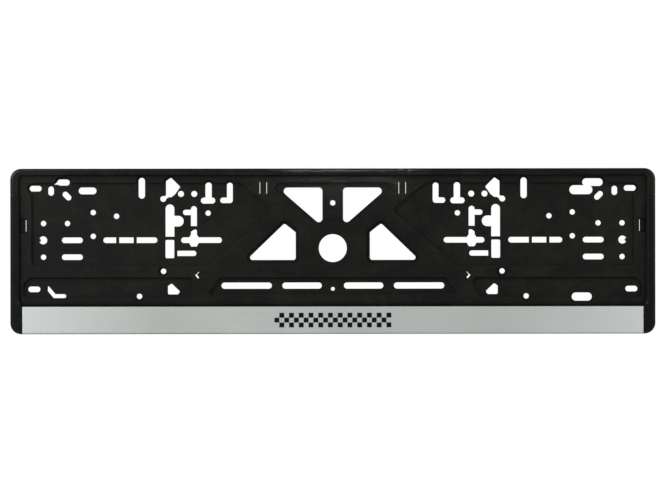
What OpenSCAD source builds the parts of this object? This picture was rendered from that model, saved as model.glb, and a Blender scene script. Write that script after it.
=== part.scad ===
// Number plate holder for a car: a moulded carrier, a frame that clips on from the front and a
// silver strip on the frame's lower bar. Millimetres. X runs to the right, Z up, and the front
// faces -Y. The origin is on the axis of the large middle hole, in the plane of the back.
// Depths are counted forwards from that plane, so a depth of 6 is at y = -6.

/* [Plate] */
// Width of the number plate
plate_w = 520; // [512:1:536]
// Height of the number plate
plate_h = 112; // [108:1:122]
// Play around the plate's edges
plate_play = 0.5; // [0.3:0.1:1]
// Room between the seat and the lips for the plate and its pressed edge
plate_room = 3.5; // [2.5:0.1:5]

/* [Outline] */
// Height of the top edge above the middle hole's axis
top_z = 65.5; // [64.5:0.5:69]
// Radius of the four outer corners
corner_r = 9; // [7:0.5:12]
// Rounding of the outline's front edge
front_r = 2; // [1:0.1:2.4]
// Inner corner radius of the window that the rims leave
inner_r = 3; // [2:0.5:6]

/* [Walls] */
// Thickness of the carrier's sheet
sheet_t = 2; // [1.6:0.1:2.4]
// Height of the plate seat above the screw panels
seat_rise = 4; // [3:0.1:5]
// Thickness of the outer walls
wall_t = 2; // [1.6:0.1:2.4]
// Thickness of the front lips
lip_t = 2.5; // [2.2:0.1:3]
// Thickness of the rails that locate the plate
rail_t = 2.2; // [1.6:0.1:3]
// Clearance between the carrier and the clip-on frame
fit_gap = 0.3; // [0.2:0.05:0.5]
// Thickness of the ribs on the back
rib_t = 1.2; // [0.8:0.1:1.6]
// Distance between the ribs on the back
rib_pitch = 34; // [26:1:50]

/* [Rims] */
// Width of the top lip
top_lip_w = 5.2; // [4:0.1:7]
// Width of the side lips at the carrier's top corners
corner_lip_w = 6.8; // [6:0.1:9]
// Width of the side arms' faces
arm_w = 7.4; // [6.5:0.1:9.5]
// Length of the carrier's top corners, down to the arms
corner_drop = 21.8; // [18:0.2:26]
// Height of the lower bar's face
bar_h = 24.5; // [22:0.5:30]
// How far the lower bar covers the plate
bar_cover = 3; // [2:0.1:5]
// Height of the slope along the inner edges of the lips
slope_h = 1.6; // [0.8:0.1:2.2]
// Depth of that slope
slope_d = 1.2; // [0.6:0.1:1.8]

/* [Seat and panels] */
// Width of the seat along the sides
side_seat_w = 17.3; // [15:0.1:22]
// Height of the seat under the top edge
top_seat_h = 11.6; // [10:0.2:14]
// Height of the seat between the upper and lower panels
band_h = 9.1; // [7:0.1:12]
// Height of the lower panels
low_panel_h = 16.9; // [15:0.1:19]
// Height of the seat above the lower bar
foot_h = 5.2; // [3.5:0.1:7]
// Rounding of the panels' corners
panel_r = 4; // [2:0.5:6]
// Width of the panel that shows around a hole in the seat
bay_w = 2; // [1:0.1:2.4]

/* [Middle] */
// Diameter of the large middle hole
middle_hole_d = 23; // [12:0.5:25]
// Width of the upright between the upper windows
upright_w = 17; // [14:0.5:20]
// Height of the upper windows' top edge
upper_top_z = 49.8; // [46:0.2:50.5]
// Slope of the upper windows' long edge in degrees
upper_slope = 41; // [38:0.5:44]
// Height where that edge would meet the upright
upper_foot_z = 17.8; // [16:0.2:20]
// Rounding of the upper windows' corners
upper_r = 3; // [2:0.5:5]
// Distance between the lower windows
lower_gap = 61; // [56:1:66]
// Height of the lower windows' bottom edge
lower_foot_z = -9.7; // [-11:0.1:-7]
// Height of the lower windows' inner edge
lower_side_h = 22.8; // [18:0.2:26]
// Distance of the lower windows' peak from the middle
lower_peak_x = 39.8; // [37:0.2:43]
// Height of the lower windows' peak
lower_peak_z = 20.4; // [17:0.2:22]
// Slope of the lower windows' long edge in degrees
lower_slope = 44; // [40:0.5:48]
// Rounding of the lower windows' corners
lower_r = 2; // [1:0.5:4]
// Width of the ledge around the windows
ledge_w = 3; // [2:0.1:4]

/* [Screw holes] */
// Diameter of the round screw holes
screw_d = 4.4; // [3:0.1:5.5]
// Diameter of the larger pair of round holes
pilot_d = 4.9; // [4:0.1:5.5]
// Height of the long slots
slot_h = 4.6; // [3.5:0.1:5.2]
// Height of the four slots under the windows
low_slot_h = 5.1; // [4:0.1:6]
// Length of the outer pair of those slots
outer_slot_l = 41.4; // [30:0.1:46]
// Length of the inner pair of those slots
inner_slot_l = 32.4; // [24:0.1:34]
// Distance between the centres of the outer pair
outer_slot_pitch = 141.8; // [134:0.1:148]
// Distance between the centres of the inner pair
inner_slot_pitch = 50.6; // [46:0.1:54]
// Length of the slots near the ends
end_slot_l = 17.2; // [12:0.1:20]
// Height of the upper row of slots near the ends
row_z = 6.7; // [5:0.1:8]
// Drop from that row to the lower row
row_drop = 13.9; // [12:0.1:15]
// Width of the tall slots
tall_slot_w = 5.2; // [4:0.1:6]

/* [Clips] */
// Height of the side hooks' middle above the middle hole
hook_z = 18.6; // [10:0.2:26]
// Height of the side hooks
hook_h = 11; // [8:0.5:14]
// Reach of the side hooks in from the outline
hook_reach = 12.6; // [10.5:0.1:14]
// Clearance around the hooks
hook_gap = 0.3; // [0.2:0.05:0.6]
// Width of the gap that shows past the side hooks
hook_slit = 0.5; // [0.4:0.1:1]
// Width of the ledges behind the side hooks' edges
hook_ledge = 1.1; // [0.8:0.1:1.6]
// Thickness of the hooks
hook_t = 2; // [1.6:0.1:2.6]
// Number of hooks along the lower bar
bar_hooks = 6; // [4:1:8]
// Distance of the outermost of them from the outline's sides
bar_hook_end = 35; // [30:1:60]
// Width of the hooks along the lower bar
bar_hook_w = 12; // [8:0.5:16]
// Width of a spring tongue's slits
slit_w = 0.4; // [0.4:0.1:1.2]
// Rise of the bumps that press on the plate
bump_h = 0.8; // [0.4:0.1:1]

/* [Silver strip] */
// Distance of the strip's ends from the outline's sides
strip_end = 9.9; // [8:0.1:20]
// Height of the strip's face
strip_h = 22.2; // [18:0.1:22.4]
// Thickness of the strip
strip_t = 0.3; // [0.2:0.05:0.5]

/* [Hidden] */
$fn = 48;

black = [0.09, 0.09, 0.088];
silver = [0.74, 0.76, 0.75];

// Depths, counted forwards from the back
seat_d = sheet_t + seat_rise;
lip_d = seat_d + plate_room;
full_d = lip_d + lip_t;
back_gap = 0.5;
ledge_d = 1.6;
tab_d = 5;
tab_h = 1.6;
through = full_d + 2;

// Outline
side_room = wall_t + fit_gap + rail_t + plate_play;
half_w = plate_w / 2 + side_room;
plate_low_z = top_z - wall_t - plate_play - plate_h;
bar_z = plate_low_z + bar_cover;
strip_w = 2 * (half_w - strip_end);
low_z = bar_z - bar_h;
full_h = top_z - low_z;
split_z = top_z - corner_drop;
inset = wall_t + fit_gap;
rail_low_z = plate_low_z - plate_play;

// Edges of the seat and the panels
panel_x = half_w - side_seat_w;
panel_top_z = top_z - top_seat_h;
low_panel_z = bar_z + foot_h;
band_low_z = low_panel_z + low_panel_h;
band_top_z = band_low_z + band_h;

// Where the upper panels' slanted edges meet and their slopes in degrees
panel_tip_x = 50.6;
panel_tip_z = 29.3;
panel_tip_h = 4.3;
panel_upper_slope = 39;
panel_lower_slope = 40.2;

// Lower panels: the middle one's half width, the outer ones' inner end, and how far they lean
low_middle_x = 93.2;
low_middle_lean = 10.2;
low_outer_x = 112;
low_outer_lean = 9;
low_outer_cut = 5;

// Distance of the holes near the ends from the outline's side, and of the clips' parts
end_column = 50.8;
pair_column = 46.8;
rim_column = 27.1;

// Two-dimensional helpers

function outward(a, b) = let (d = (b - a) / norm(b - a)) [d[1], -d[0]];

// A polygon with each side moved outwards by d; the points run anticlockwise
function grown(points, d) = [
    for (i = [0 : len(points) - 1])
        let (
            last = points[(i + len(points) - 1) % len(points)],
            here = points[i],
            next = points[(i + 1) % len(points)],
            n1 = outward(last, here),
            n2 = outward(here, next)
        )
        here + (n1 + n2) * d / (1 + n1 * n2)
];

// A polygon with round corners, as a core with a strip on each side and a disc on each corner.
// The discs are a thousandth larger, so that they cross the strips at clear points.
module round_polygon(points, r) {
    core = grown(points, -r);
    polygon(core);
    for (i = [0 : len(core) - 1]) {
        a = core[i];
        b = core[(i + 1) % len(core)];
        out = outward(a, b) * r;
        polygon([a, a + out, b + out, b]);
        translate(a) circle(r + 0.001);
    }
}

module slot(length, width, angle = 0) {
    rotate(angle) {
        square([length - width, width], center = true);
        for (side = [-1, 1])
            translate([side * (length - width) / 2, 0]) circle(d = width);
    }
}

module stroke(a, b, width) {
    translate((a + b) / 2)
        slot(norm(b - a) + width, width, atan2(b[1] - a[1], b[0] - a[0]));
}

module both_sides() {
    children();
    mirror([1, 0]) children();
}

// An extrusion between two depths; a drawing's second axis becomes Z
module layer(back, front) {
    translate([0, -back, 0]) rotate([90, 0, 0]) linear_extrude(front - back) children();
}

// A profile of depth and height, extruded along X across the middle
module along_x(length) {
    translate([-length / 2, 0, 0]) rotate([90, 0, 90]) linear_extrude(length) mirror([1, 0]) children();
}

// The outline with its sides moved in by some distance
module outline(move = 0) {
    r = corner_r - move;
    w = half_w - move;
    difference() {
        translate([-w, low_z + move]) square([2 * w, full_h - 2 * move]);
        for (x = [-1, 1], z = [0, 1])
            translate([x * w, z == 0 ? low_z + move : top_z - move])
                square(2 * r, center = true);
    }
    for (x = [-w + r, w - r], z = [low_z + move + r, top_z - move - r])
        translate([x, z]) circle(r);
}

// Outline pieces above and below the line where the arms meet the carrier's top corners
module above(z) {
    translate([-half_w - 1, z]) square([2 * half_w + 2, top_z - z + 1]);
}

module below(z) {
    translate([-half_w - 1, low_z - 1]) square([2 * half_w + 2, z - low_z + 1]);
}

// The window inside the lips, for a given width of the side lips
module rim_window(side_w, move = 0) {
    w = half_w - side_w + move;
    low = bar_z - move;
    high = top_z - top_lip_w + move;
    round_polygon([[-w, low], [w, low], [w, high], [-w, high]], inner_r + move);
}

// The same window with its edges sloping out to the front face
module sloping_window(side_w) {
    w = half_w - side_w;
    high = top_z - top_lip_w;
    layer(-1, through) rim_window(side_w);
    along_x(2 * (w - inner_r)) polygon([
        [full_d - slope_d, bar_z], [full_d, bar_z - slope_h], [through, bar_z - slope_h],
        [through, high + slope_h], [full_d, high + slope_h], [full_d - slope_d, high]
    ]);
    translate([0, 0, bar_z + inner_r]) linear_extrude(high - bar_z - 2 * inner_r) polygon([
        [-w, slope_d - full_d], [-w - slope_h, -full_d], [-w - slope_h, -through],
        [w + slope_h, -through], [w + slope_h, -full_d], [w, slope_d - full_d]
    ]);
    for (x = [-1, 1], z = [bar_z + inner_r, high - inner_r])
        translate([x * (w - inner_r), slope_d - full_d, z]) rotate([90, 0, 0]) {
            cylinder(h = slope_d, r1 = inner_r, r2 = inner_r + slope_h);
            translate([0, 0, slope_d]) cylinder(h = 2, r = inner_r + slope_h);
        }
}

// Section of a flat bar whose outer front edge is rounded; the first axis runs outwards, the
// second forwards
module edge_section(w) {
    square([w, full_d - front_r]);
    square([w - front_r, full_d]);
    translate([w - front_r, full_d - front_r]) circle(front_r);
}

// The whole outline as a slab whose front edge is rounded: a middle, two ends and four corners
module front_slab() {
    x = half_w - corner_r;
    z_mid = (top_z + low_z) / 2;
    tall = full_h - 2 * corner_r;
    for (side = [0, 1], end = [0, 1])
        translate([0, 0, z_mid]) mirror([side, 0, 0]) mirror([0, 0, end])
            translate([x, 0, full_h / 2 - corner_r]) rotate([90, 0, 0])
                rotate_extrude(angle = 90) edge_section(corner_r);
    for (side = [0, 1])
        mirror([side, 0, 0]) translate([x, 0, low_z + corner_r])
            linear_extrude(tall) mirror([0, 1]) edge_section(corner_r);
    for (end = [0, 1])
        translate([-x, 0, z_mid]) mirror([0, 0, end]) rotate([90, 0, 90])
            linear_extrude(2 * x) mirror([1, 0]) rotate(90) mirror([0, 1]) edge_section(full_h / 2);
}

// Windows of the middle

function upper_window() = [
    [upright_w / 2, upper_foot_z],
    [upright_w / 2 + (upper_top_z - upper_foot_z) / tan(upper_slope), upper_top_z],
    [upright_w / 2, upper_top_z]
];

function lower_window() = [
    [lower_gap / 2, lower_foot_z],
    [lower_peak_x + (lower_peak_z - lower_foot_z) / tan(lower_slope), lower_foot_z],
    [lower_peak_x, lower_peak_z],
    [lower_gap / 2, lower_foot_z + lower_side_h]
];

// Panels that lie at the back, each with a margin that walls and cuts share

// One panel holds both upper windows and the upright between them
function upper_panel() = let (
        foot_z = upper_foot_z + ledge_w,
        drop = ledge_w / cos(upper_slope),
        foot_x = upright_w / 2 + (foot_z - upper_foot_z + drop) / tan(upper_slope),
        head_x = foot_x + (panel_top_z - foot_z) / tan(upper_slope)
    )
    [[-foot_x, foot_z], [foot_x, foot_z], [head_x, panel_top_z], [-head_x, panel_top_z]];

function side_panel() = [
    [panel_tip_x + (panel_tip_z - band_top_z) / tan(panel_lower_slope), band_top_z],
    [panel_x, band_top_z],
    [panel_x, panel_top_z],
    [panel_tip_x + (panel_top_z - panel_tip_z - panel_tip_h) / tan(panel_upper_slope), panel_top_z],
    [panel_tip_x, panel_tip_z + panel_tip_h],
    [panel_tip_x, panel_tip_z]
];

function low_outer_panel() = [
    [low_outer_x + low_outer_lean, low_panel_z],
    [half_w - side_seat_w / 2 - 2, low_panel_z],
    [half_w - side_seat_w / 2 - 2, band_low_z - low_outer_cut],
    [half_w - side_seat_w / 2 - 2 - low_outer_cut, band_low_z],
    [low_outer_x, band_low_z]
];

function low_middle_panel() = let (
        foot_z = low_panel_z + 2.5,
        foot_x = low_middle_x + low_middle_lean
    )
    [
        [-foot_x, foot_z], [foot_x, foot_z], [low_middle_x, band_low_z], [-low_middle_x, band_low_z]
    ];

module panels(margin = 0) {
    r = panel_r + margin;
    round_polygon(grown(upper_panel(), margin), r);
    round_polygon(grown(low_middle_panel(), margin), 2 + margin);
    both_sides() {
        round_polygon(grown(side_panel(), margin), r);
        round_polygon(grown(low_outer_panel(), margin), r);
        round_polygon(grown(lower_window(), ledge_w + margin), lower_r + ledge_w + margin);
        hole_bays(margin);
    }
    left_bays(margin);
    right_bays(margin);
}

// Apron behind the lower bar, inside the carrier's own rim
module apron(margin = 0) {
    w = half_w - inset - wall_t + margin;
    low = low_z + inset + wall_t - margin;
    translate([-w, low]) square([2 * w, rail_low_z - rail_t + margin - low]);
}

// Holes: patterns are drawn for the right-hand side and mirrored

module round_holes(d) {
    for (at = [
        [half_w - 68, 29.5], [half_w - 68, 9.9],
        [half_w - rim_column, 20.5], [half_w - rim_column, row_z - row_drop],
        [half_w - pair_column, 20.5], [half_w - 87.2, 26.4], [102.5, 28.9]
    ])
        translate(at) circle(d = d);
}

module band_holes(d) {
    translate([139.2, band_low_z + 5]) circle(d = d);
    translate([half_w - 106, low_panel_z + 1.3]) circle(d = d);
}

module top_slots(more = 0) {
    translate([157, top_z - 16.1]) slot(17.1 + 2 * more, tall_slot_w + 2 * more, 90);
    translate([half_w - 20.7, top_z - 16.3]) slot(9.8 + 2 * more, slot_h + 2 * more);
}

module keyhole(more = 0) {
    lobe = [139.4, top_z - 24.9];
    round_polygon(grown([
        [132.8, top_z - 23.5], [137.1, top_z - 23.5], [137.1, top_z - 10.2],
        [132.9, top_z - 7.4], [125.3, top_z - 15], [129.8, top_z - 21.2]
    ], more), 1 + more);
    translate(lobe) circle(2.4 + more);
    stroke(lobe, [134, top_z - 21.4], 2.6 + 2 * more);
}

module tee(more = 0) {
    stroke([102.1, top_z - 14], [102.1, top_z - 25], 5.2 + 2 * more);
    stroke([99.1, top_z - 26.3], [106, top_z - 26.3], 4.9 + 2 * more);
}

module jay(more = 0) {
    stroke([84.6, top_z - 14], [84.6, top_z - 25.9], 4.8 + 2 * more);
    stroke([84.6, top_z - 26.1], [90.3, top_z - 26.1], 4.5 + 2 * more);
}

// Bays let the panel's level show around the holes that lie partly in the seat
module hole_bays(margin) {
    more = bay_w + margin;
    top_slots(more);
    keyhole(more);
    tee(more);
    jay(more);
    band_holes(screw_d + 2 * more + 1);
}

module left_bays(margin) {
    pointed_slot(bay_w + margin);
    bent_slot(bay_w + margin);
}

module right_bays(margin) {
    stepped_slot(bay_w + margin);
    wide_slot(bay_w + margin);
}

module pointed_slot(more = 0) {
    at = [-half_w + 43.6, top_z - 11.3];
    translate(at) slot(10.2 + 2 * more, 5 + 2 * more);
    if (more == 0)
        translate(at) polygon([[-7.4, -1.5], [-7, -1.8], [-4.6, -1.7], [-2, -2.4], [-1, 0], [-2.6, 2.4]]);
}

module bent_slot(more = 0) {
    knee = [-half_w + 36.1, low_panel_z + 1.6];
    stroke(knee, knee + [-4, 4.9], 3.2 + 2 * more);
    stroke(knee, knee + [8, 0], 3.2 + 2 * more);
    if (more == 0)
        translate(knee + [-4, 4.9]) polygon([[-1.4, -0.3], [0, -1], [1.2, 0.6], [-0.6, 3.2], [-1.4, 3]]);
}

module short_slot() {
    translate([-half_w + 63.4, top_z - 18.2]) slot(14.6, 5.6);
}

module stepped_slot(more = 0) {
    translate([half_w - 51.4, top_z - 11.5]) slot(16.8 + 2 * more, 6.3 + 2 * more);
    translate([half_w - 60.9, top_z - 17.7]) slot(19 + 2 * more, 7.4 + 2 * more);
}

module wide_slot(more = 0) {
    translate([half_w - 60.3, low_panel_z + 0.7]) slot(16.5 + 2 * more, 6.7 + 2 * more);
}

// The hole with a nib at its outer side
module nibbed_hole() {
    difference() {
        translate([half_w - rim_column + 0.3, row_z]) circle(3.3);
        translate([half_w - rim_column + 3.4, row_z]) circle(1.3);
    }
}

// The row of three slots is one long slot with two bars across it
module barred_slot() {
    start = 144.3;
    bar = 2.6;
    difference() {
        stroke([start + slot_h / 2, row_z], [half_w - 76.3 - slot_h / 2, row_z], slot_h);
        for (x = [half_w - 102.5, half_w - 88.1])
            translate([x, row_z]) square([bar, 2 * slot_h], center = true);
    }
}

module stem_and_bump() {
    stroke([133.9, 32.5], [133.9, 13.3], 7.2);
    translate([130.3, 9.6]) square([7.2, 8]);
    stroke([127, 22.3], [133, 22.3], 8.8);
}

module flagged_slot() {
    stroke([114.2, 32.2], [114.2, 24], 4.9);
    translate([111.75, 18.3]) square([4.9, 8]);
    stroke([121, 29.5], [114.2, 29.5], 4.4);
}

module cross_slot() {
    stroke([93.5, row_z], [122.4, row_z], slot_h);
    translate([114.2, row_z]) {
        polygon([[-2.45, -4.7], [2.45, -4.7], [2.45, 6.8], [0.4, 8.4], [-1.6, 8.8], [-2.45, 8]]);
        polygon([
            [-4, -2.2], [-2.3, -5.3], [2.3, -5.3], [4, -2.2],
            [4, 2.2], [2.4, 4.6], [-2.4, 4.6], [-4, 2.2]
        ]);
    }
}

module inner_holes() {
    stem_and_bump();
    flagged_slot();
    cross_slot();
    translate([134, -0.6]) round_polygon([[-3.6, -7.5], [3.6, -7.5], [3.6, 7.5], [-3.6, 7.5]], 1);
    translate([118.2, row_z - 10.9]) slot(12, 4.3);
    translate([123, row_z - 10.9]) square([9.6, 4.3], center = true);
    for (x = [113.9, 124.8])
        translate([x, top_z - 20.8]) circle(d = pilot_d);
}

module corner_hole() {
    round_polygon([
        [135.6, low_panel_z + 2.9], [135.6, low_panel_z + 9.8], [132.6, low_panel_z + 11.9],
        [125.6, low_panel_z + 5.2], [127.4, low_panel_z + 2.9]
    ], 1.2);
}

module end_holes() {
    translate([half_w - 33.4, top_z - 18.3]) slot(7.6, slot_h, 90);
    translate([half_w - 46.4, top_z - 22.4]) slot(8.2, slot_h, 45);
    for (z = [row_z, row_z - row_drop])
        translate([half_w - end_column, z]) slot(end_slot_l, slot_h);
    translate([half_w - 19.5, low_panel_z + 7.2]) slot(9.9, slot_h);
}

module middle_holes() {
    circle(d = middle_hole_d);
    translate([0, 37.2]) circle(d = 4.3);
    translate([0, low_panel_z + 7.3]) circle(d = 3.1);
    both_sides() {
        round_polygon(upper_window(), upper_r);
        round_polygon(lower_window(), lower_r);
        translate([outer_slot_pitch / 2, low_panel_z + 10]) slot(outer_slot_l, low_slot_h);
        translate([inner_slot_pitch / 2, low_panel_z + 10]) slot(inner_slot_l, low_slot_h);
    }
}

// Spring tongues: a slit on each side of the upper ones; the lower ones have a bent opening around
// their tip and a ridge along each side
tongue_x = 57.1;
tongue_w = 5.2;
curl_x = 112.3;
curl_h = 5.9;
curl_z = band_low_z + 1.8;

module tongue_slits() {
    for (side = [-1, 1])
        translate([tongue_x + side * (tongue_w + slit_w) / 2, panel_top_z - 4.4])
            slot(9.4, slit_w, 90);
}

module curl_end() {
    tip = [curl_x, curl_z];
    stroke(tip, tip + [-2.1, 2.5], 0.4);
    stroke(tip, tip + [-1.6, -2], 1.3);
}

module curl_ridges() {
    both_sides()
        for (side = [-1, 1])
            translate([curl_x - 7.2, curl_z + side * curl_h / 2]) slot(6, 0.9);
}

module all_holes() {
    middle_holes();
    both_sides() {
        round_holes(screw_d);
        band_holes(screw_d);
        top_slots();
        keyhole();
        tee();
        jay();
        nibbed_hole();
        barred_slot();
        inner_holes();
        corner_hole();
        end_holes();
        tongue_slits();
        curl_end();
    }
    pointed_slot();
    short_slot();
    bent_slot();
    stepped_slot();
    wide_slot();
}

// Where the clip-on frame's hooks pass through the carrier

module side_hook_windows(ledge = 0) {
    inner = half_w - hook_reach - hook_slit;
    both_sides()
        translate([inner, hook_z - hook_h / 2 - hook_gap + ledge])
            square([half_w - inner + 1, hook_h + 2 * (hook_gap - ledge)]);
}

bar_hook_z = (rail_low_z - rail_t + low_z + inset + wall_t) / 2;
bar_hook_nose = 1;
bar_hook_pitch = 2 * (half_w - bar_hook_end) / (bar_hooks - 1);

module along_bar() {
    for (i = [0 : bar_hooks - 1])
        translate([bar_hook_end - half_w + i * bar_hook_pitch, 0, 0]) children();
}

module bar_hook_windows() {
    h = hook_t + bar_hook_nose + 2 * hook_gap;
    along_bar()
        translate([0, bar_hook_z + bar_hook_nose / 2])
            square([bar_hook_w + 2 * hook_gap, h], center = true);
}

// Carrier

module carrier_outline(move = 0) {
    intersection() {
        outline(inset + move);
        below(split_z);
    }
    intersection() {
        outline(move);
        above(split_z + move);
    }
}

module back_hollows() {
    difference() {
        carrier_outline(wall_t);
        panels(sheet_t);
        apron(sheet_t);
        circle(d = middle_hole_d + 2 * wall_t);
        side_hook_walls();
        for (i = [-7 : 7])
            translate([i * rib_pitch, low_z]) square([rib_t, full_h * 2], center = true);
    }
}

// Walls that close the seat's hollow beside each side hook
module side_hook_walls() {
    both_sides()
        translate([half_w - hook_reach - hook_slit - wall_t, hook_z - hook_h / 2 - hook_gap - wall_t])
            square([hook_reach + hook_slit + wall_t, hook_h + 2 * (hook_gap + wall_t)]);
}

module carrier_sheet() {
    difference() {
        layer(0, seat_d) carrier_outline();
        layer(sheet_t, through) {
            panels();
            apron();
        }
        layer(-1, seat_d - sheet_t) back_hollows();
    }
}

// Space for the plate between the rails, with the plate's own round corners
plate_corner = 8;

module plate_space() {
    x = plate_w / 2 + plate_play;
    top = top_z - wall_t;
    translate([-x, rail_low_z]) square([2 * x, top - plate_corner - rail_low_z]);
    translate([-x + plate_corner, rail_low_z]) square([2 * (x - plate_corner), top - rail_low_z]);
    for (side = [-1, 1])
        translate([side * (x - plate_corner), top - plate_corner]) circle(plate_corner);
}

// Rails beside and below the plate, which keep clear of the frame's lips
module plate_rails() {
    low = rail_low_z - rail_t;
    difference() {
        union() {
            layer(seat_d - 0.5, lip_d - fit_gap) intersection() {
                outline(inset);
                translate([-half_w, low]) square([2 * half_w, split_z - low]);
            }
            layer(seat_d - 0.5, lip_d + 0.2) intersection() {
                outline(wall_t / 2);
                above(split_z);
            }
        }
        layer(-1, through) plate_space();
    }
}

module carrier_rim() {
    difference() {
        intersection() {
            front_slab();
            layer(0, full_d + 1) above(split_z);
        }
        layer(-1, lip_d) outline(wall_t);
        sloping_window(corner_lip_w);
    }
}

// Tabs behind the arms' ends, so that the joint at each side is closed from the front
module corner_tabs() {
    both_sides()
        translate([half_w - wall_t + 0.1, split_z - tab_h]) square([wall_t - 0.3, tab_h + 1]);
}

module pressing_bumps() {
    both_sides() {
        for (x = [12, 21.4])
            translate([x, panel_top_z + 2.6]) slot(4.6, 1.6, 90);
        translate([tongue_x, panel_top_z + 3.2]) slot(4.8, tongue_w - 1, 90);
    }
}

module carrier() {
    color(black) difference() {
        union() {
            carrier_sheet();
            plate_rails();
            carrier_rim();
            layer(0, tab_d) corner_tabs();
            layer(seat_d - 0.5, seat_d + bump_h) {
                pressing_bumps();
                curl_ridges();
            }
        }
        layer(-1, through) {
            all_holes();
            side_hook_windows(hook_ledge);
            bar_hook_windows();
        }
        layer(ledge_d, through) side_hook_windows();
    }
}

// Clip-on frame

module side_hook() {
    wall = half_w - wall_t;
    foot = 2.4;
    back = ledge_d + 0.2;
    layer(back, back + foot)
        translate([half_w - hook_reach, hook_z - hook_h / 2])
            square([hook_reach - wall_t / 2, hook_h]);
    translate([0, 0, hook_z - hook_h / 2]) linear_extrude(hook_h) polygon([
        [wall - 3, -back - foot + 0.1], [wall + 0.1, -back - foot + 0.1],
        [wall + 0.1, -seat_d + 0.3]
    ]);
}

module bar_hook() {
    low = bar_hook_z - hook_t / 2;
    high = bar_hook_z + hook_t / 2;
    lead = 1.4;
    along_x(bar_hook_w) polygon([
        [back_gap, low], [lip_d + 0.5, low], [lip_d + 0.5, high], [back_gap + lead + 0.4, high],
        [back_gap + lead + 0.4, high + bar_hook_nose], [back_gap + lead, high + bar_hook_nose],
        [back_gap, high]
    ]);
}

module clip_frame() {
    color(black) {
        difference() {
            intersection() {
                front_slab();
                layer(back_gap, full_d + 1) below(split_z - fit_gap);
            }
            layer(-1, lip_d) outline(wall_t);
            layer(-1, tab_d + fit_gap) both_sides()
                translate([half_w - 2 * wall_t, split_z - tab_h - fit_gap])
                    square([3 * wall_t, tab_h + 2]);
            sloping_window(arm_w);
            strip_seat();
        }
        side_hook();
        mirror([1, 0, 0]) side_hook();
        along_bar() bar_hook();
    }
}

// Profile of the bar's face, moved in by some depth, with its rounded lower edge
module bar_profile(move) {
    r = front_r - move;
    translate([0, low_z + move]) {
        translate([0, r]) square([full_d - move, bar_h]);
        square([full_d - move - r, bar_h]);
        translate([full_d - move - r, r]) circle(r);
    }
}

module strip_profile() {
    top = bar_z - slope_h - 0.4;
    intersection() {
        difference() {
            bar_profile(0);
            bar_profile(strip_t);
        }
        translate([full_d - front_r, top - strip_h]) square([front_r + 1, strip_h]);
    }
}

module strip_seat() {
    along_x(strip_w) strip_profile();
}

module silver_strip() {
    color(silver) along_x(strip_w) strip_profile();
}

carrier();
clip_frame();
silver_strip();
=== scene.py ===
import math

import bpy
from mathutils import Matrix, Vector


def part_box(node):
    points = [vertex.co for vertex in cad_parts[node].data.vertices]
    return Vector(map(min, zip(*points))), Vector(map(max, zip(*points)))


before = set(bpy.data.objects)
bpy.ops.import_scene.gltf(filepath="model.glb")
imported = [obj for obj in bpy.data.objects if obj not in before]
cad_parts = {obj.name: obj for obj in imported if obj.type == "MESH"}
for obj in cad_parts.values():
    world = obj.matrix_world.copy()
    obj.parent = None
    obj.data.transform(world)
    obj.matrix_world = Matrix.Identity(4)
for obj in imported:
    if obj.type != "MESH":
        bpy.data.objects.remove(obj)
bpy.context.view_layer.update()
bpy.ops.object.select_all(action="DESELECT")
bpy.context.scene.view_settings.view_transform = "Standard"

# Depths in metres: the front of the raised seat, and where the look of the rims is full and ends
SEAT_FACE_Y = -0.006
RIM_LOOK_FULL_Y = -0.0108
RIM_LOOK_END_Y = -0.0085

# How fine the moulding's patterns are, from the flow of the melt down to the grain
FLOW_SCALE = 14
BLOTCH_SCALE = 75
WAVE_SCALE = 230
GRAIN_SCALE = 3200
TONE_START, TONE_END = 0.44, 0.58

# Painted shade: dark lines along the steps of the moulding, where shade falls in the creases
STEP_SHADE_COLOUR = (0.0006, 0.0007, 0.0005)
STEP_SHADE_WIDTH = 0.0014

# Silver film, the painted highlight that lightens its ends, and the squares printed on it
SILVER_DARK = (0.500, 0.525, 0.500)
SILVER_LIGHT = (0.592, 0.612, 0.588)
SILVER_END_HIGHLIGHT = (0.69, 0.725, 0.705)
END_HIGHLIGHT_LENGTH = 0.11
FILM_EDGE_WIDTH = 0.0003
INK_COLOUR = (0.005, 0.006, 0.0065)
SQUARE = 0.004
SQUARE_COLUMNS, SQUARE_ROWS = 24, 3


# Steps that every material is made of

def new_material(name):
    material = bpy.data.materials.new(name)
    material.use_nodes = True
    tree = material.node_tree
    tree.nodes.clear()
    output = tree.nodes.new("ShaderNodeOutputMaterial")
    shader = tree.nodes.new("ShaderNodeBsdfPrincipled")
    tree.links.new(shader.outputs["BSDF"], output.inputs["Surface"])
    place = tree.nodes.new("ShaderNodeTexCoord")
    return material, tree, shader, place.outputs["Object"]


def stretched(tree, where, scale, turn=(0, 0, 0), shift=(0, 0, 0)):
    node = tree.nodes.new("ShaderNodeMapping")
    node.inputs["Location"].default_value = shift
    node.inputs["Scale"].default_value = scale
    node.inputs["Rotation"].default_value = turn
    tree.links.new(where, node.inputs["Vector"])
    return node.outputs["Vector"]


def noise(tree, where, scale, detail=2.0, roughness=0.5, distortion=0.0):
    node = tree.nodes.new("ShaderNodeTexNoise")
    node.inputs["Scale"].default_value = scale
    node.inputs["Detail"].default_value = detail
    node.inputs["Roughness"].default_value = roughness
    node.inputs["Distortion"].default_value = distortion
    tree.links.new(where, node.inputs["Vector"])
    return node.outputs["Fac"]


def separated(tree, where):
    node = tree.nodes.new("ShaderNodeSeparateXYZ")
    tree.links.new(where, node.inputs["Vector"])
    return node.outputs


# A value that runs from low to high while the given one runs from start to end
def ranged(tree, value, low, high, start=0, end=1):
    node = tree.nodes.new("ShaderNodeMapRange")
    node.inputs["From Min"].default_value = start
    node.inputs["From Max"].default_value = end
    node.inputs["To Min"].default_value = low
    node.inputs["To Max"].default_value = high
    tree.links.new(value, node.inputs["Value"])
    return node.outputs["Result"]


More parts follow.
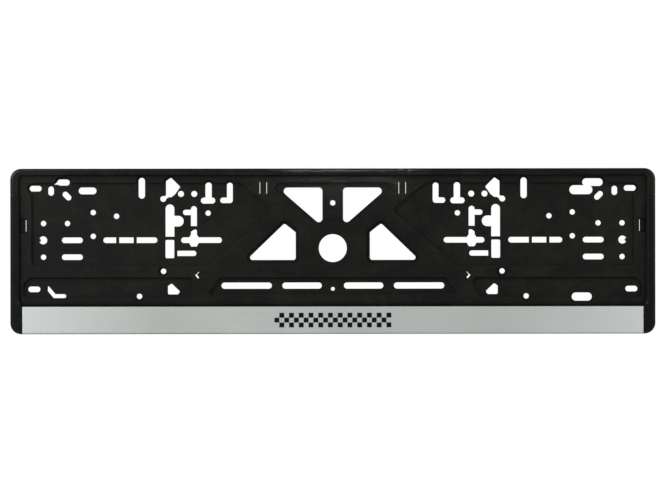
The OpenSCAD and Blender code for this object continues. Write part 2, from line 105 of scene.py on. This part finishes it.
def worked(tree, operation, *values):
    node = tree.nodes.new("ShaderNodeMath")
    node.operation = operation
    for socket, value in zip(node.inputs, values):
        if isinstance(value, (int, float)):
            socket.default_value = value
        else:
            tree.links.new(value, socket)
    return node.outputs["Value"]


# A share of the first pattern and the rest of the second
def shared(tree, first, share, second):
    return worked(
        tree, "ADD",
        worked(tree, "MULTIPLY", first, share),
        worked(tree, "MULTIPLY", second, 1 - share))


def blended(tree, factor, first, second):
    node = tree.nodes.new("ShaderNodeMix")
    node.data_type = "RGBA"
    colour_sockets = [socket for socket in node.inputs if socket.type == "RGBA"]
    for socket, value in zip(colour_sockets, (first, second)):
        if isinstance(value, tuple):
            socket.default_value = (*value, 1)
        else:
            tree.links.new(value, socket)
    tree.links.new(factor, node.inputs["Factor"])
    return next(socket for socket in node.outputs if socket.type == "RGBA")


def bumped(tree, height, strength, distance, under):
    node = tree.nodes.new("ShaderNodeBump")
    node.inputs["Strength"].default_value = strength
    node.inputs["Distance"].default_value = distance
    tree.links.new(height, node.inputs["Height"])
    tree.links.new(under, node.inputs["Normal"])
    return node.outputs["Normal"]


def softened_edges(tree, radius):
    node = tree.nodes.new("ShaderNodeBevel")
    node.samples = 8
    node.inputs["Radius"].default_value = radius
    return node.outputs["Normal"]


# Where the softened normal turns away from the flat one, which is only beside an edge
def edges(tree, soft_normal):
    flat = tree.nodes.new("ShaderNodeNewGeometry")
    node = tree.nodes.new("ShaderNodeVectorMath")
    node.operation = "DOT_PRODUCT"
    tree.links.new(soft_normal, node.inputs[0])
    tree.links.new(flat.outputs["True Normal"], node.inputs[1])
    return ranged(tree, node.outputs["Value"], 1, 0, 0.90, 0.995)


# Satin black moulding: smears and blotches where the melt flowed, a fine grain, painted shade as
# dark lines along the steps, and rims that are smoother than the panels and rubbed grey along
# their edges
def black_moulding(name, charcoal, olive, rubbed, rim_roughness, panel_roughness, edge_width):
    material, tree, shader, where = new_material(name)
    flow_place = stretched(tree, where, (1, 1, 1.8), turn=(0, 0.5, 0), shift=(3.3, 0.2, 1.7))
    flow = noise(tree, flow_place, FLOW_SCALE, 4, 0.6, 1.2)
    blotches = noise(tree, where, BLOTCH_SCALE, 3, 0.55, 0.8)
    waves = noise(tree, where, WAVE_SCALE, 2)
    grain = noise(tree, where, GRAIN_SCALE, 2, 0.6)
    tone = shared(tree, flow, 0.6, blotches)
    rim = ranged(tree, separated(tree, where)["Y"], 1, 0, RIM_LOOK_FULL_Y, RIM_LOOK_END_Y)
    soft = softened_edges(tree, edge_width)
    wear = worked(tree, "MULTIPLY", edges(tree, soft), ranged(tree, waves, 0.1, 1, 0.4, 0.65))
    wear = worked(tree, "MULTIPLY", wear, rim)
    # Painted shade: a dark line in the colour along each step away from the rims
    step_shade = edges(tree, softened_edges(tree, STEP_SHADE_WIDTH))
    step_shade = worked(tree, "MULTIPLY", step_shade, ranged(tree, rim, 1, 0))

    plastic = blended(tree, ranged(tree, tone, 0, 1, TONE_START, TONE_END), charcoal, olive)
    # The painted shade along the steps goes into the colour here
    plastic = blended(tree, step_shade, plastic, STEP_SHADE_COLOUR)
    tree.links.new(blended(tree, wear, plastic, rubbed), shader.inputs["Base Color"])

    roughness = worked(
        tree, "ADD",
        ranged(tree, rim, panel_roughness, rim_roughness),
        ranged(tree, tone, 0.06, -0.06, TONE_START, TONE_END))
    roughness = worked(tree, "ADD", roughness, worked(tree, "MULTIPLY", step_shade, 0.3))
    tree.links.new(roughness, shader.inputs["Roughness"])

    normal = bumped(tree, waves, 0.3, 0.0002, soft)
    normal = bumped(tree, grain, 0.35, 0.00004, normal)
    tree.links.new(normal, shader.inputs["Normal"])
    shader.inputs["Specular IOR Level"].default_value = 0.25
    return material


def within(tree, value, count):
    return worked(
        tree, "MULTIPLY",
        worked(tree, "GREATER_THAN", value, 0),
        worked(tree, "LESS_THAN", value, count))


# Every other square of a grid about the middle of the film, as 1 on a square and 0 beside it
def printed_squares(tree, split, middle_z):
    across = worked(tree, "ADD", split["X"], SQUARE * SQUARE_COLUMNS / 2)
    across = worked(tree, "DIVIDE", across, SQUARE)
    up = worked(tree, "ADD", split["Z"], SQUARE * SQUARE_ROWS / 2 - middle_z)
    up = worked(tree, "DIVIDE", up, SQUARE)
    sum_of_cells = worked(tree, "ADD", worked(tree, "FLOOR", across), worked(tree, "FLOOR", up))
    odd = worked(tree, "FLOORED_MODULO", sum_of_cells, 2)
    inside = worked(
        tree, "MULTIPLY", within(tree, across, SQUARE_COLUMNS), within(tree, up, SQUARE_ROWS))
    return worked(tree, "MULTIPLY", odd, inside)


# Silver film brushed along the bar, with a painted highlight that lightens it towards its ends,
# and rows of small dark squares printed in its middle
def silver_film(name, low, high):
    material, tree, shader, where = new_material(name)
    brushed = noise(tree, stretched(tree, where, (9, 60, 2600)), 1, 3, 0.7)
    clouds = noise(tree, where, 11)
    tone = shared(tree, brushed, 0.4, clouds)
    split = separated(tree, where)
    # Painted highlight: the colour lightens over the last stretch towards each end of the film
    end = worked(tree, "ABSOLUTE", split["X"])
    end = ranged(tree, end, 0, 1, high[0] - END_HIGHLIGHT_LENGTH, high[0])
    ink = printed_squares(tree, split, (low[2] + high[2]) / 2)

    metal = blended(tree, ranged(tree, tone, 0, 1, 0.4, 0.6), SILVER_DARK, SILVER_LIGHT)
    metal = blended(tree, end, metal, SILVER_END_HIGHLIGHT)
    tree.links.new(blended(tree, ink, metal, INK_COLOUR), shader.inputs["Base Color"])
    tree.links.new(ranged(tree, ink, 0.35, 0), shader.inputs["Metallic"])

    roughness = worked(
        tree, "ADD", ranged(tree, tone, 0.44, 0.34, 0.3, 0.7), worked(tree, "MULTIPLY", ink, -0.2))
    tree.links.new(roughness, shader.inputs["Roughness"])

    normal = bumped(tree, brushed, 0.15, 0.00003, softened_edges(tree, FILM_EDGE_WIDTH))
    tree.links.new(normal, shader.inputs["Normal"])
    shader.inputs["Specular IOR Level"].default_value = 0.3
    return material


# Each piece gets its finish

def dress(node, material):
    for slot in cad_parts[node].material_slots:
        slot.material = material


dress("carrier", black_moulding(
    "black moulded plastic",
    charcoal=(0.0010, 0.0014, 0.0005),
    olive=(0.0118, 0.0127, 0.0091),
    rubbed=(0.024, 0.025, 0.023),
    rim_roughness=0.29,
    panel_roughness=0.33,
    edge_width=0.0003))
dress("clip_frame", black_moulding(
    "black frame plastic",
    charcoal=(0.0008, 0.0011, 0.0009),
    olive=(0.0052, 0.0058, 0.0052),
    rubbed=(0.020, 0.021, 0.020),
    rim_roughness=0.28,
    panel_roughness=0.32,
    edge_width=0.0004))
dress("silver_strip", silver_film("silver film", *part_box("silver_strip")))


# Camera: far off and straight in front, so that the depths hardly shift

def make_camera():
    distance = 8.0
    width_seen = 0.54829
    roll = 0.0013
    film_width = 36
    middle = Vector((0.000575, SEAT_FACE_Y, -0.00156))
    bpy.ops.object.camera_add(
        location=middle - Vector((0, distance, 0)), rotation=(math.radians(90), roll, 0))
    camera = bpy.context.object
    camera.data.sensor_width = film_width
    camera.data.lens = film_width * distance / width_seen
    camera.data.clip_end = 60
    camera.data.dof.use_dof = False
    bpy.context.scene.camera = camera


# Floor, world and lamps

def make_floor():
    bpy.ops.mesh.primitive_plane_add(size=5, location=(0, 0, -0.30))
    floor = bpy.context.object
    floor.name = "floor"
    material, tree, shader, where = new_material("pale floor")
    shade = noise(tree, where, 3)
    pale = blended(tree, shade, (0.68, 0.68, 0.68), (0.72, 0.72, 0.72))
    tree.links.new(pale, shader.inputs["Base Color"])
    shader.inputs["Roughness"].default_value = 0.8
    rays = tree.nodes.new("ShaderNodeLightPath")
    glow = worked(tree, "MULTIPLY", rays.outputs["Is Camera Ray"], 0.5)
    tree.links.new(glow, shader.inputs["Emission Strength"])
    shader.inputs["Emission Color"].default_value = (1, 1, 1, 1)
    floor.data.materials.append(material)


# White where the camera sees it and in reflections of what lies behind the part, and otherwise a
# room that is dim in front of the part and bright behind it
def make_world(front, back):
    world = bpy.data.worlds.new("studio")
    bpy.context.scene.world = world
    world.use_nodes = True
    tree = world.node_tree
    tree.nodes.clear()
    output = tree.nodes.new("ShaderNodeOutputWorld")
    white = tree.nodes.new("ShaderNodeBackground")
    white.inputs["Color"].default_value = (1, 1, 1, 1)
    white.inputs["Strength"].default_value = 1
    room = tree.nodes.new("ShaderNodeBackground")
    place = tree.nodes.new("ShaderNodeTexCoord")
    depth = separated(tree, place.outputs["Generated"])["Y"]
    tree.links.new(ranged(tree, depth, front, back, 0.3, 0.8), room.inputs["Strength"])
    rays = tree.nodes.new("ShaderNodeLightPath")
    mirrored = worked(
        tree, "ADD", rays.outputs["Is Glossy Ray"], rays.outputs["Is Transmission Ray"])
    mirrored = worked(tree, "MULTIPLY", mirrored, ranged(tree, depth, 0, 1, 0.5, 0.9))
    which = tree.nodes.new("ShaderNodeMixShader")
    shown = worked(tree, "MAXIMUM", rays.outputs["Is Camera Ray"], mirrored)
    tree.links.new(shown, which.inputs[0])
    tree.links.new(room.outputs["Background"], which.inputs[1])
    tree.links.new(white.outputs["Background"], which.inputs[2])
    tree.links.new(which.outputs["Shader"], output.inputs["Surface"])


def soft_lamp(name, at, aim, size, watts, spread=180):
    bpy.ops.object.light_add(type="AREA", location=at)
    lamp = bpy.context.object
    lamp.name = name
    lamp.data.shape = "RECTANGLE"
    lamp.data.size, lamp.data.size_y = size
    lamp.data.energy = watts
    lamp.data.spread = math.radians(spread)
    lamp.rotation_euler = (Vector(aim) - Vector(at)).to_track_quat("-Z", "Y").to_euler()


make_camera()
make_floor()
make_world(front=0.12, back=1.0)
soft_lamp("key lamp", (-0.85, -1.05, 0.55), (-0.08, 0, 0), (1.1, 0.9), 14.6)
soft_lamp("fill lamp", (0.92, -1.05, 0.50), (0.08, 0, 0), (1.1, 0.9), 8.0)
soft_lamp("rim lamp", (0.008, -0.60, 0.30), (0.008, -0.012, 0.105), (0.09, 0.04), 0.035, spread=11)
